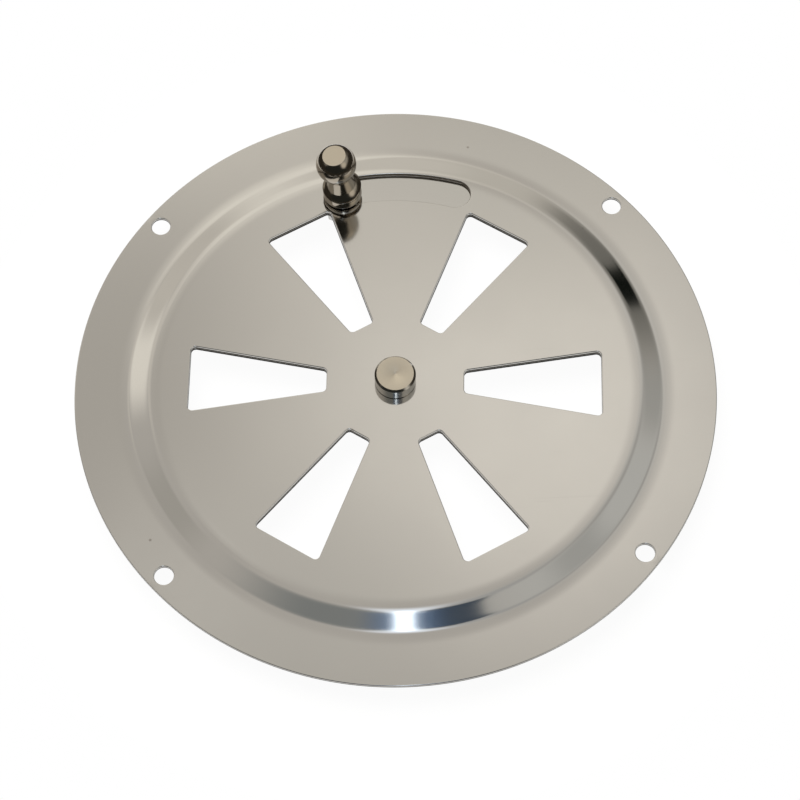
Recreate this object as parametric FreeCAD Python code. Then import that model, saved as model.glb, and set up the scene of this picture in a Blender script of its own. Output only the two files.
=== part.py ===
import FreeCAD, Part
import math
import os
from FreeCAD import Vector

# Round butterfly vent in stainless steel. A pressed front plate has a fan of openings in its raised
# middle, and a flat shutter disc with the same openings turns close behind it. A knob that stands on
# the shutter runs in a curved slot, from one end (open, as modelled) to the other (closed).
# Millimetres. +Z points out of the front. The origin is on the axis, in the plane of the flange's
# back, which lies on the wall. X and Y follow the rows of screw holes.

# Front plate, pressed from one sheet
plate_diameter = 125.0
sheet_thickness = 0.8
rim_width = 15.5              # ramp and flange, outside the raised flat
raise_height = 1.6            # step from the flange to the raised flat
ramp_angle = 22.0
upper_bend_radius = 4.0       # on the front, where the ramp leaves the raised flat
lower_bend_radius = 3.2       # on the front, where it meets the flange

# Screw holes in the flange, on a rectangle
screw_hole_diameter = 3.7
screw_hole_inset = 3.25       # hole centre to the plate's edge
screw_hole_angle = 40.0       # first hole, from X

# Fan of openings, cut alike in the plate and the shutter
opening_count = 6
fan_turn = -3.8               # middle of the first opening, from X
opening_inner_edge = 13.4     # axis to the straight inner edge
opening_inner_width = 4.9
opening_outer_width = 14.25
opening_corner_radius = 0.9
slot_web = 0.7                # sheet left between the fan and the slot

# Shutter disc
shutter_thickness = 0.6
shutter_gap = 0.1             # behind the plate's raised flat
shutter_lap = 0.2             # past the slot's outer edge
shutter_turn = 180.0 / opening_count

# M4 shanks of the stud and the knob, with their nuts and washers
shank_diameter = 4.0
bore_clearance = 0.06         # round a shank, in the plate and the shutter
thread_clearance = 0.05       # round a shank, in a nut
thread_past_nut = 1.0
thread_chamfer = 0.4
nut_across_flats = 7.0
nut_height = 3.2
washer_diameter = 9.0
washer_thickness = 0.8
washer_clearance = 0.15       # round a shank, in a washer
spring_washer_diameter = 7.6
spring_washer_thickness = 0.9
spring_washer_slit = 0.8
spring_washer_slant = 25.0

# Pivot stud
stud_head_diameter = 8.0
stud_head_height = 2.95
stud_head_chamfer = 0.4
stud_base_chamfer = 0.2

# Knob. Heights are above the front of the raised flat.
knob_slot_angle = 90.2        # middle of the slot, from the first opening
knob_inset = 0.25             # knob's circle inside the slot's middle
foot_shoulder = 0.3           # foot's step on the shutter, outside the shank
foot_clearance = 0.55         # foot to the slot's inner edge
knob_gap = 0.5                # ring above the plate
ring_diameter = 7.8
ring_height = 1.7
ring_draft = 0.2              # taken off its radius by the top
ring_chamfer = 0.25
groove_diameter = 6.4
groove_width = 0.7
collar_diameter = 7.8
collar_chamfer = 0.2          # under its edge
collar_dome_radius = 4.6
neck_foot_diameter = 5.8      # on the dome
neck_diameter = 4.6           # under the ball
ball_diameter = 8.0
ball_height = 11.7            # centre of the ball
ball_flat_diameter = 4.6
ball_taper_angle = 25.0       # under the ball, from its axis
knob_lean = 6.1               # from the groove up, towards the open end of the slot

# Levels along Z
plate_under = raise_height
plate_front = raise_height + sheet_thickness
shutter_front = plate_under - shutter_gap
shutter_back = shutter_front - shutter_thickness

# Radii and places that follow
plate_radius = plate_diameter / 2
raised_flat_radius = plate_radius - rim_width
shank_radius = shank_diameter / 2
bore_radius = shank_radius + bore_clearance
foot_radius = shank_radius + foot_shoulder
slot_width = 2 * (foot_radius + foot_clearance + knob_inset)
slot_inner_radius = raised_flat_radius - slot_width
slot_radius = raised_flat_radius - slot_width / 2
opening_outer_edge = slot_inner_radius - slot_web
shutter_radius = raised_flat_radius + shutter_lap
knob_radius = slot_radius - knob_inset
slot_middle = fan_turn + knob_slot_angle
knob_angle = slot_middle + shutter_turn / 2
screw_circle_radius = plate_radius - screw_hole_inset
through = 4 * plate_front     # longer than any cut is deep
fillet_limit = 0.45           # largest share of a wall that a rounded edge takes
hexagon_sides = 6

axis_up = Vector(0, 0, 1)
centre = Vector(0, 0, 0)


def polar(radius, degrees, z=0.0):
    angle = math.radians(degrees)
    return Vector(radius * math.cos(angle), radius * math.sin(angle), z)


def line(start, end):
    return Part.LineSegment(start, end).toShape()


def arc(start, middle, end):
    return Part.Arc(start, middle, end).toShape()


def at(radius, z):
    return Vector(radius, 0, z)


def turned(edges):
    # Solid of revolution of a closed profile in the XZ plane
    return Part.Face(Part.Wire(edges)).revolve(centre, axis_up, 360)


def turned_polygon(points):
    outline = [at(*point) for point in points]
    return Part.Face(Part.makePolygon(outline + outline[:1])).revolve(centre, axis_up, 360)


def prism(edges, bottom, height):
    face = Part.Face(Part.Wire(edges))
    face.translate(Vector(0, 0, bottom))
    return face.extrude(Vector(0, 0, height))


def polygon_prism(points, bottom, height):
    return prism([line(a, b) for a, b in zip(points, points[1:] + points[:1])], bottom, height)


def ring(outer_radius, inner_radius, bottom, height):
    place = Vector(0, 0, bottom)
    outer = Part.makeCylinder(outer_radius, height, place)
    return outer.cut(Part.makeCylinder(inner_radius, height, place))


def turned_by(shape, degrees):
    copy = shape.copy()
    copy.rotate(centre, axis_up, degrees)
    return copy


def moved_to(shape, place):
    copy = shape.copy()
    copy.translate(place)
    return copy


def fan_cutters():
    # One opening is a trapezoid with straight ends and rounded corners
    half_inner = opening_inner_width / 2
    half_outer = opening_outer_width / 2
    corners = [
        Vector(opening_inner_edge, -half_inner, 0),
        Vector(opening_outer_edge, -half_outer, 0),
        Vector(opening_outer_edge, half_outer, 0),
        Vector(opening_inner_edge, half_inner, 0),
    ]
    opening = polygon_prism(corners, -through / 2, through)
    upright = [edge for edge in opening.Edges if edge.BoundBox.ZLength > through / 2]
    opening = opening.makeFillet(min(opening_corner_radius, fillet_limit * opening_inner_width), upright)
    pitch = 360.0 / opening_count
    return [turned_by(opening, fan_turn + pitch * index) for index in range(opening_count)]


def slot_cutter():
    # Two arcs about the axis, closed by half circles
    first = slot_middle - shutter_turn / 2
    last = slot_middle + shutter_turn / 2
    inner = slot_inner_radius
    outer = raised_flat_radius
    half_width = slot_width / 2
    end_bulge = polar(half_width, last + 90)
    start_bulge = polar(half_width, first - 90)
    edges = [
        arc(polar(inner, first), polar(inner, slot_middle), polar(inner, last)),
        arc(polar(inner, last), polar(slot_radius, last) + end_bulge, polar(outer, last)),
        arc(polar(outer, last), polar(outer, slot_middle), polar(outer, first)),
        arc(polar(outer, first), polar(slot_radius, first) + start_bulge, polar(inner, first)),
    ]
    return prism(edges, -through / 2, through)


def screw_hole_cutters():
    angles = [screw_hole_angle, 180 - screw_hole_angle, 180 + screw_hole_angle, -screw_hole_angle]
    places = [polar(screw_circle_radius, angle, -through / 2) for angle in angles]
    return [Part.makeCylinder(screw_hole_diameter / 2, through, place) for place in places]


def bore_cutter(place):
    return Part.makeCylinder(bore_radius, through, place - Vector(0, 0, through / 2))


def make_front_plate():
    # Half section of the pressed sheet. The front has rounded bends, and the back follows it with
    # plain creases, as far behind as the sheet is thick.
    lean = math.radians(ramp_angle)
    crease = math.tan(lean / 2)
    ramp_run = raise_height / math.tan(lean)
    upper_corner = raised_flat_radius + upper_bend_radius * crease
    lower_corner = upper_corner + ramp_run
    back_shift = sheet_thickness * crease
    upper_centre = at(raised_flat_radius, plate_front - upper_bend_radius)
    lower_centre = at(lower_corner + lower_bend_radius * crease, sheet_thickness + lower_bend_radius)

    def upper(share):
        return upper_centre + at(math.sin(share * lean), math.cos(share * lean)) * upper_bend_radius

    def lower(share):
        return lower_centre - at(math.sin(share * lean), math.cos(share * lean)) * lower_bend_radius

    edges = [
        line(at(0, plate_under), at(0, plate_front)),
        line(at(0, plate_front), upper(0)),
        arc(upper(0), upper(0.5), upper(1)),
        line(upper(1), lower(1)),
        arc(lower(1), lower(0.5), lower(0)),
        line(lower(0), at(plate_radius, sheet_thickness)),
        line(at(plate_radius, sheet_thickness), at(plate_radius, 0)),
        line(at(plate_radius, 0), at(lower_corner - back_shift, 0)),
        line(at(lower_corner - back_shift, 0), at(upper_corner - back_shift, plate_under)),
        line(at(upper_corner - back_shift, plate_under), at(0, plate_under)),
    ]
    cutters = fan_cutters() + [slot_cutter(), bore_cutter(centre)] + screw_hole_cutters()
    return turned(edges).cut(cutters)


def make_shutter_disc():
    disc = Part.makeCylinder(shutter_radius, shutter_thickness, Vector(0, 0, shutter_back))
    return disc.cut(fan_cutters() + [bore_cutter(centre), bore_cutter(polar(knob_radius, knob_angle))])


def make_washer(top):
    bore = shank_radius + washer_clearance
    return ring(washer_diameter / 2, bore, top - washer_thickness, washer_thickness)


def make_spring_washer(top):
    # Pressed flat by its nut, with a slanted slit
    bottom = top - spring_washer_thickness
    outer = spring_washer_diameter / 2
    body = ring(outer, shank_radius + washer_clearance, bottom, spring_washer_thickness)
    height = 4 * spring_washer_thickness
    corner = Vector(0, -spring_washer_slit / 2, -height / 2)
    slit = Part.makeBox(2 * outer, spring_washer_slit, height, corner)
    slit.rotate(centre, Vector(1, 0, 0), spring_washer_slant)
    slit.translate(Vector(0, 0, bottom + spring_washer_thickness / 2))
    return body.cut(slit)


def make_nut(top):
    bottom = top - nut_height
    side_angle = 360.0 / hexagon_sides
    corner = nut_across_flats / 2 / math.cos(math.radians(side_angle / 2))
    corners = [polar(corner, side_angle * side) for side in range(hexagon_sides)]
    hexagon = polygon_prism(corners, bottom, nut_height)
    return hexagon.cut(Part.makeCylinder(shank_radius + thread_clearance, nut_height, Vector(0, 0, bottom)))


def make_pivot_stud(tip):
    head_radius = stud_head_diameter / 2
    head_top = plate_front + stud_head_height
    return turned_polygon([
        (0, tip),
        (shank_radius - thread_chamfer, tip),
        (shank_radius, tip + thread_chamfer),
        (shank_radius, plate_front),
        (head_radius - stud_base_chamfer, plate_front),
        (head_radius, plate_front + stud_base_chamfer),
        (head_radius, head_top - stud_head_chamfer),
        (head_radius - stud_head_chamfer, head_top),
        (0, head_top),
    ])


def make_handle(collar_bottom):
    # Domed collar, tapered neck, and a flat-topped ball with a taper under it
    collar_radius = collar_diameter / 2
    neck_foot_radius = neck_foot_diameter / 2
    neck_radius = neck_diameter / 2
    ball_radius = ball_diameter / 2
    flat_radius = ball_flat_diameter / 2
    collar_edge = collar_bottom + collar_chamfer
    dome_centre = collar_edge - math.sqrt(collar_dome_radius ** 2 - collar_radius ** 2)

    def dome(radius):
        return at(radius, dome_centre + math.sqrt(collar_dome_radius ** 2 - radius ** 2))

    taper = math.radians(ball_taper_angle)
    ball_centre = plate_front + ball_height
    flat_z = ball_centre + math.sqrt(ball_radius ** 2 - flat_radius ** 2)
    taper_radius = ball_radius * math.cos(taper)
    taper_z = ball_centre - ball_radius * math.sin(taper)
    neck_z = taper_z - (taper_radius - neck_radius) / math.tan(taper)
    edges = [
        line(at(0, collar_bottom), at(collar_radius - collar_chamfer, collar_bottom)),
        line(at(collar_radius - collar_chamfer, collar_bottom), at(collar_radius, collar_edge)),
        arc(dome(collar_radius), dome((collar_radius + neck_foot_radius) / 2), dome(neck_foot_radius)),
        line(dome(neck_foot_radius), at(neck_radius, neck_z)),
        line(at(neck_radius, neck_z), at(taper_radius, taper_z)),
        arc(at(taper_radius, taper_z), at(ball_radius, ball_centre), at(flat_radius, flat_z)),
        line(at(flat_radius, flat_z), at(0, flat_z)),
        line(at(0, flat_z), at(0, collar_bottom)),
    ]
    return turned(edges)


def make_knob(tip):
    ring_radius = ring_diameter / 2
    ring_top_radius = ring_radius - ring_draft
    groove_radius = groove_diameter / 2
    ring_bottom = plate_front + knob_gap
    ring_top = ring_bottom + ring_height
    collar_bottom = ring_top + groove_width
    stem_top = collar_bottom + 2 * collar_chamfer
    stem = turned_polygon([
        (0, tip),
        (shank_radius - thread_chamfer, tip),
        (shank_radius, tip + thread_chamfer),
        (shank_radius, shutter_front),
        (foot_radius, shutter_front),
        (foot_radius, ring_bottom),
        (ring_radius - ring_chamfer, ring_bottom),
        (ring_radius, ring_bottom + ring_chamfer),
        (ring_top_radius, ring_top - ring_chamfer),
        (ring_top_radius - ring_chamfer, ring_top),
        (groove_radius, ring_top),
        (groove_radius, stem_top),
        (0, stem_top),
    ])
    handle = make_handle(collar_bottom)
    # The knob is bent at its groove and leans along the slot
    handle.rotate(Vector(0, 0, (ring_top + collar_bottom) / 2), Vector(1, 0, 0), -knob_lean)
    return stem.fuse(handle).removeSplitter()


def place_at_knob(shape):
    # Local Y points along the slot towards its open end
    return moved_to(turned_by(shape, knob_angle), polar(knob_radius, knob_angle))


pivot_washer_top = shutter_back
pivot_spring_top = pivot_washer_top - washer_thickness
pivot_nut_top = pivot_spring_top - spring_washer_thickness
pivot_tip = pivot_nut_top - nut_height - thread_past_nut
knob_spring_top = shutter_back
knob_nut_top = knob_spring_top - spring_washer_thickness
knob_tip = knob_nut_top - nut_height - thread_past_nut

nodes = {
    "front_plate": make_front_plate(),
    "shutter_disc": make_shutter_disc(),
    "pivot_stud": make_pivot_stud(pivot_tip),
    "pivot_washer": make_washer(pivot_washer_top),
    "pivot_spring_washer": make_spring_washer(pivot_spring_top),
    "pivot_nut": make_nut(pivot_nut_top),
    "knob": place_at_knob(make_knob(knob_tip)),
    "knob_spring_washer": place_at_knob(make_spring_washer(knob_spring_top)),
    "knob_nut": place_at_knob(make_nut(knob_nut_top)),
}

os.makedirs("parts", exist_ok=True)
for name, shape in nodes.items():
    shape.exportStep("parts/" + name + ".step")
    box = shape.BoundBox
    size = "%.2f x %.2f x %.2f" % (box.XLength, box.YLength, box.ZLength)
    print(name, "valid" if shape.isValid() else "NOT VALID", len(shape.Solids), "solid", size, "mm",
          "%.1f mm3" % shape.Volume)
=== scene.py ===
import math
import bmesh
import bpy
from mathutils import Matrix, Vector


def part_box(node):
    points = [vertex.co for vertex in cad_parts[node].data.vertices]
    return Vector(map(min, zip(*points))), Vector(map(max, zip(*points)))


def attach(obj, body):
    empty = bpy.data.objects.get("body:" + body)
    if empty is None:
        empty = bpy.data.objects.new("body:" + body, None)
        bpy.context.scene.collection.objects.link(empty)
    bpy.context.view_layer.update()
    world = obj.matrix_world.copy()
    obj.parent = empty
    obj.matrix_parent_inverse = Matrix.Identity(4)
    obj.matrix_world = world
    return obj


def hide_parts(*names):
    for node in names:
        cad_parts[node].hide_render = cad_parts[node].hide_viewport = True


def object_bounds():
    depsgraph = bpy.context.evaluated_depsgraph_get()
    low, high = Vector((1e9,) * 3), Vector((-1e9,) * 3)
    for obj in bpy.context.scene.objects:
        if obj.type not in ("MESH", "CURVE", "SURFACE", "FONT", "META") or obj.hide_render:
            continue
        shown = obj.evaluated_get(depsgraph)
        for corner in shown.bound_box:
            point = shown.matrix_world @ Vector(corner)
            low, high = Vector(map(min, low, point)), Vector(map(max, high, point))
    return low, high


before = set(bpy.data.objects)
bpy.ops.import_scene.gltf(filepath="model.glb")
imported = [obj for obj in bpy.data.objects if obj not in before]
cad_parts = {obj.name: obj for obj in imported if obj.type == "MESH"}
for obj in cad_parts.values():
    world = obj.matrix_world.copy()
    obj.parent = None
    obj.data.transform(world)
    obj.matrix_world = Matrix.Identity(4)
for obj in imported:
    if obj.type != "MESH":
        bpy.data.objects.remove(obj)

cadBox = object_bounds()
mm = 0.001
mergeDistance = 1e-7
print("frame loaded:", len(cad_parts), "pieces")


# small helpers for meshes

def newObject(name, data):
    thing = bpy.data.objects.new(name, data)
    bpy.context.scene.collection.objects.link(thing)
    return thing


def meshFrom(name, bm):
    mesh = bpy.data.meshes.new(name)
    bm.to_mesh(mesh)
    bm.free()
    return mesh


def closedMesh(name, bm):
    bmesh.ops.remove_doubles(bm, verts=bm.verts, dist=mergeDistance)
    bmesh.ops.recalc_face_normals(bm, faces=bm.faces)
    return meshFrom(name, bm)


def settle(thing):
    # live modifiers become a plain mesh
    depsgraph = bpy.context.evaluated_depsgraph_get()
    mesh = bpy.data.meshes.new_from_object(thing.evaluated_get(depsgraph))
    thing.modifiers.clear()
    thing.data = mesh
    return thing


def smooth(thing, sharpAngle=32):
    # round faces shade smoothly, and flat ones keep their own normal
    thing.data.shade_smooth()
    thing.data.set_sharp_from_angle(angle=math.radians(sharpAngle))
    weigh = thing.modifiers.new("flatFirst", "WEIGHTED_NORMAL")
    weigh.mode = "FACE_AREA"
    weigh.weight = 100
    weigh.keep_sharp = True
    return settle(thing)


def circleTurns(segments):
    return [2 * math.pi * step / segments for step in range(segments)]


def ringPoint(radius, turn, height):
    # radius and height in mm
    return (radius * mm * math.cos(turn), radius * mm * math.sin(turn), height * mm)


def lathe(name, profile, segments=144):
    # profile: (radius, height) in mm, from the axis and back to it, or closed
    bm = bmesh.new()
    rings = []
    for radius, height in profile:
        turns = circleTurns(segments) if radius > 0 else [0.0]
        rings.append([bm.verts.new(ringPoint(radius, turn, height)) for turn in turns])
    for low, high in zip(rings, rings[1:]):
        for step in range(segments):
            after = step + 1
            corners = [low[step % len(low)], low[after % len(low)]]
            corners += [high[after % len(high)], high[step % len(high)]]
            corners = list(dict.fromkeys(corners))
            if len(corners) > 2:
                bm.faces.new(corners)
    return newObject(name, closedMesh(name, bm))


def arcPoints(centreRadius, centreHeight, radius, startDegrees, endDegrees, steps):
    sweep = endDegrees - startDegrees
    turns = [math.radians(startDegrees + sweep * step / steps) for step in range(steps + 1)]
    points = []
    for turn in turns:
        points.append((centreRadius + radius * math.cos(turn), centreHeight + radius * math.sin(turn)))
    return points


def boolean(thing, other, operation):
    step = thing.modifiers.new(operation.lower(), "BOOLEAN")
    step.operation = operation
    step.solver = "EXACT"
    step.object = other
    settle(thing)
    bpy.data.objects.remove(other)


def place(thing, matrix):
    thing.data.transform(matrix)
    return thing


def dress(thing, material, body, nodeName):
    thing.data.materials.clear()
    thing.data.materials.append(material)
    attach(thing, body)
    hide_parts(nodeName)
    return thing


# node helpers, for shapes and for materials

def add(tree, kind, inputs=None, **settings):
    node = tree.nodes.new(kind)
    for key, value in settings.items():
        setattr(node, key, value)
    for key, value in (inputs or {}).items():
        socket = node.inputs[key]
        if isinstance(value, bpy.types.NodeSocket):
            tree.links.new(value, socket)
        else:
            socket.default_value = value
    return node


def calc(tree, operation, *values):
    return add(tree, "ShaderNodeMath", dict(enumerate(values)), operation=operation).outputs[0]


def plus(tree, first, second):
    return calc(tree, "ADD", first, second)


def minus(tree, first, second):
    return calc(tree, "SUBTRACT", first, second)


def times(tree, first, second):
    return calc(tree, "MULTIPLY", first, second)


def vectorCalc(tree, operation, *values):
    node = add(tree, "ShaderNodeVectorMath", dict(enumerate(values)), operation=operation)
    return node.outputs["Value" if operation in ("LENGTH", "DOT_PRODUCT") else "Vector"]


def parts(tree, vector):
    return add(tree, "ShaderNodeSeparateXYZ", {"Vector": vector}).outputs


def joined(tree, axes):
    return add(tree, "ShaderNodeCombineXYZ", axes).outputs[0]


def remap(tree, value, low, high, newLow=0.0, newHigh=1.0, **settings):
    node = add(tree, "ShaderNodeMapRange", {
        "Value": value, "From Min": low, "From Max": high, "To Min": newLow, "To Max": newHigh,
    }, **settings)
    return node.outputs["Result"]


def mixColour(tree, factor, low, high):
    return add(tree, "ShaderNodeMix", {"Factor": factor, 6: low, 7: high}, data_type="RGBA").outputs[2]


def newTree(name, kind, inputs, outputs):
    # an input is given by its default number, or by its kind of socket
    tree = bpy.data.node_groups.new(name, kind)
    for label, value in inputs.items():
        isKind = isinstance(value, str)
        socketKind = value if isKind else "Int" if isinstance(value, int) else "Float"
        socket = tree.interface.new_socket(label, in_out="INPUT", socket_type="NodeSocket" + socketKind)
        if not isKind:
            socket.default_value = value
    for label, socketKind in outputs.items():
        tree.interface.new_socket(label, in_out="OUTPUT", socket_type="NodeSocket" + socketKind)
    return tree, tree.nodes.new("NodeGroupInput").outputs, tree.nodes.new("NodeGroupOutput").inputs


def useTree(thing, tree, values):
    step = thing.modifiers.new(tree.name, "NODES")
    step.node_group = tree
    for item in tree.interface.items_tree:
        if item.in_out == "INPUT" and item.name in values:
            step[item.identifier] = values[item.name]
    return settle(thing)


# where things are, from the frame

def middle(nodeName):
    low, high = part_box(nodeName)
    return (low + high) / 2


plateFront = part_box("front_plate")[1].z / mm
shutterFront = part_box("shutter_disc")[1].z / mm
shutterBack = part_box("shutter_disc")[0].z / mm
knobAxis = Vector((middle("knob_nut").x, middle("knob_nut").y, 0))
knobTurn = math.atan2(knobAxis.y, knobAxis.x)


# shader groups that several finishes share; their lengths are in metres, and scales per metre

wearMarks = {
    "hazeScale": 55.0, "hazeDetail": 5.0, "hazeRoughness": 0.55,
    "grainScale": (90.0, 5200.0, 90.0), "grainDetail": 2.0, "grainRelief": 0.03,
    "scratchAcross": 3400.0, "scratchDown": 20.0, "scratchDetail": 1.0, "scratchFade": 0.05,
    "scratchRelief": 0.2,
    "speckScale": 230.0, "speckFrom": 0.965, "speckEdge": 0.09, "speckCore": 0.03,
}
# direction in degrees, scale along it, and how high the noise has to be
scratchRuns = ((25, 45.0, 0.735), (-52, 60.0, 0.745), (80, 52.0, 0.74))


def noise(tree, where, scale, detail, roughness=0.5):
    return add(tree, "ShaderNodeTexNoise", {
        "Vector": where, "Scale": scale, "Detail": detail, "Roughness": roughness,
    }).outputs["Fac"]


def makePolishGroup():
    tree, source, result = newTree("polishWear", "ShaderNodeTree", {
        "Vector": "Vector", "Roughness": 0.12, "Smudge": 0.04, "Grain": 0.03, "Scratch": 0.1,
    }, {"Roughness": "Float", "Height": "Float", "Haze": "Float", "Speck": "Float"})
    where = source["Vector"]
    # wiped film, a few centimetres across
    haze = noise(tree, where, wearMarks["hazeScale"], wearMarks["hazeDetail"], wearMarks["hazeRoughness"])
    hazeValue = minus(tree, haze, 0.5)
    # polishing lines along X
    grainPlace = add(tree, "ShaderNodeMapping", {
        "Vector": where, "Scale": wearMarks["grainScale"],
    }).outputs[0]
    grainValue = minus(tree, noise(tree, grainPlace, 1.0, wearMarks["grainDetail"]), 0.5)
    # fine scratches
    scratches = 0.0
    for degrees, along, limit in scratchRuns:
        run = add(tree, "ShaderNodeMapping", {
            "Vector": where, "Rotation": (0, 0, math.radians(degrees)),
            "Scale": (along, wearMarks["scratchAcross"], wearMarks["scratchDown"]),
        }).outputs[0]
        lines = noise(tree, run, 1.0, wearMarks["scratchDetail"])
        cut = remap(tree, lines, limit, limit + wearMarks["scratchFade"])
        scratches = calc(tree, "MAXIMUM", scratches, cut)
    # grit specks, in a few cells
    cells = add(tree, "ShaderNodeTexVoronoi", {
        "Vector": where, "Scale": wearMarks["speckScale"], "Randomness": 1.0,
    }).outputs
    draw = add(tree, "ShaderNodeSeparateColor", {"Color": cells["Color"]}).outputs[0]
    chosen = calc(tree, "GREATER_THAN", draw, wearMarks["speckFrom"])
    near = remap(tree, cells["Distance"], wearMarks["speckEdge"], wearMarks["speckCore"])
    rough = source["Roughness"]
    for value, amount in ((hazeValue, "Smudge"), (grainValue, "Grain"), (scratches, "Scratch")):
        rough = plus(tree, rough, times(tree, value, source[amount]))
    grainHeight = times(tree, grainValue, wearMarks["grainRelief"])
    height = minus(tree, grainHeight, times(tree, scratches, wearMarks["scratchRelief"]))
    tree.links.new(rough, result["Roughness"])
    tree.links.new(height, result["Height"])
    tree.links.new(haze, result["Haze"])
    tree.links.new(times(tree, chosen, near), result["Speck"])
    return tree


edgeFade = 0.35


def makeEdgeGroup():
    # 1 on the sheared walls of punched sheet, 0 on its faces
    tree, source, result = newTree("shearedEdge", "ShaderNodeTree", {"From": 0.62}, {"Mask": "Float"})
    normal = add(tree, "ShaderNodeNewGeometry").outputs["Normal"]
    upright = calc(tree, "ABSOLUTE", parts(tree, normal)["Z"])
    mask = remap(tree, upright, source["From"], minus(tree, source["From"], edgeFade))
    tree.links.new(mask, result["Mask"])
    return tree


def acrossAxis(tree, vector):
    return vectorCalc(tree, "MULTIPLY", vector, (1.0, 1.0, 0.0))


def makeDrawnGroup():
    # the press draws the sheet down a little on both sides of the ramp
    tree, source, result = newTree("drawnSheet", "ShaderNodeTree", {
        "Vector": "Vector", "Lean": 0.09, "Middle": 0.05, "Start": 0.0048, "Full": 0.0026, "End": 0.002,
    }, {"Normal": "Vector"})
    flat = acrossAxis(tree, source["Vector"])
    radius = vectorCalc(tree, "LENGTH", flat)
    outward = vectorCalc(tree, "NORMALIZE", flat)
    offset = calc(tree, "ABSOLUTE", minus(tree, radius, source["Middle"]))
    rising = remap(tree, offset, source["Start"], source["Full"], interpolation_type="SMOOTHSTEP")
    falling = remap(tree, offset, source["End"], source["Full"], interpolation_type="SMOOTHSTEP")
    normal = add(tree, "ShaderNodeNewGeometry").outputs["Normal"]
    facing = times(tree, parts(tree, normal)["Z"], source["Lean"])
    lean = times(tree, times(tree, rising, falling), facing)
    pushed = add(tree, "ShaderNodeVectorMath", {0: outward, "Scale": lean}, operation="SCALE").outputs[0]
    leaning = vectorCalc(tree, "ADD", normal, pushed)
    tree.links.new(vectorCalc(tree, "NORMALIZE", leaning), result["Normal"])
    return tree


ringNoise = {"Scale": 0.45, "Detail": 2.0}


def makeTurningGroup():
    # rings that the cutting tool leaves about an axis
    tree, source, result = newTree("turningMarks", "ShaderNodeTree", {
        "Vector": "Vector", "Pitch": 0.0002, "Unevenness": 0.6,
    }, {"Rings": "Float"})
    radius = vectorCalc(tree, "LENGTH", acrossAxis(tree, source["Vector"]))
    along = calc(tree, "DIVIDE", plus(tree, radius, parts(tree, source["Vector"])["Z"]), source["Pitch"])
    uneven = add(tree, "ShaderNodeTexNoise", {"W": along, **ringNoise}, noise_dimensions="1D").outputs["Fac"]
    wave = calc(tree, "SINE", times(tree, along, 2 * math.pi))
    level = minus(tree, times(tree, uneven, 2.0), 1.0)
    mixed = add(tree, "ShaderNodeMix", {"Factor": source["Unevenness"], 2: wave, 3: level})
    tree.links.new(mixed.outputs[0], result["Rings"])
    return tree


polishWear = makePolishGroup()
shearedEdge = makeEdgeGroup()
drawnSheet = makeDrawnGroup()
turningMarks = makeTurningGroup()


def useGroup(tree, group, inputs):
    return add(tree, "ShaderNodeGroup", inputs, node_tree=group).outputs


def newMaterial(name):
    material = bpy.data.materials.new(name)
    material.use_nodes = True
    material.node_tree.nodes.clear()
    return material, material.node_tree


def wornSurface(tree, where, finish):
    amounts = {label: finish[label.lower()] for label in ("Roughness", "Smudge", "Grain", "Scratch")}
    return useGroup(tree, polishWear, {"Vector": where, **amounts})


bumpDistance = 0.00001


def steelShader(tree, colour, roughness, relief):
    bump = add(tree, "ShaderNodeBump", {"Distance": bumpDistance, **relief})
    shader = add(tree, "ShaderNodeBsdfPrincipled", {
        "Base Color": colour, "Metallic": 1.0, "Roughness": roughness, "Normal": bump.outputs["Normal"],
    })
    out = add(tree, "ShaderNodeOutputMaterial")
    tree.links.new(shader.outputs["BSDF"], out.inputs["Surface"])


def sheetSteel(name, finish):
    material, tree = newMaterial(name)
    where = add(tree, "ShaderNodeTexCoord").outputs["Object"]
    worn = wornSurface(tree, where, finish)
    colour = mixColour(tree, worn["Haze"], finish["colour"], finish["hazeColour"])
    colour = mixColour(tree, times(tree, worn["Speck"], finish["speck"]), colour, finish["speckColour"])
    radius = vectorCalc(tree, "LENGTH", acrossAxis(tree, where))
    # sheared walls keep the sheet's colour above; lower down a near-black colour is painted shade, standing
    # for the dull torn band and the shade under the plate
    wall = useGroup(tree, shearedEdge, {"From": finish["wallFrom"]})["Mask"]
    onFlat = calc(tree, "LESS_THAN", radius, finish["rampMiddle"])
    above = minus(tree, parts(tree, where)["Z"], times(tree, onFlat, finish["raise"]))
    edge = times(tree, wall, remap(tree, above, *finish["tornShadeHeights"]))
    # the slot's wall is dull all the way up
    inner, outer = finish["slotRadii"]
    pastInner = calc(tree, "GREATER_THAN", radius, inner)
    inSlot = times(tree, pastInner, calc(tree, "LESS_THAN", radius, outer))
    slotWall = useGroup(tree, shearedEdge, {"From": finish["slotFrom"]})["Mask"]
    edge = calc(tree, "MAXIMUM", edge, times(tree, slotWall, inSlot))
    wallShadeAndTone = mixColour(tree, inSlot, finish["tornWallShadeColour"], finish["slotColour"])
    colour = mixColour(tree, edge, colour, wallShadeAndTone)
    rough = plus(tree, worn["Roughness"], times(tree, edge, finish["edgeRoughness"]))
    drawn = useGroup(tree, drawnSheet, {
        "Vector": where, "Lean": finish["drawnLean"], "Middle": finish["rampMiddle"],
    })["Normal"]
    steelShader(tree, colour, rough, {"Height": worn["Height"], "Strength": finish["bump"], "Normal": drawn})
    return material


facedNormals = (0.9, 0.98)


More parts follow.
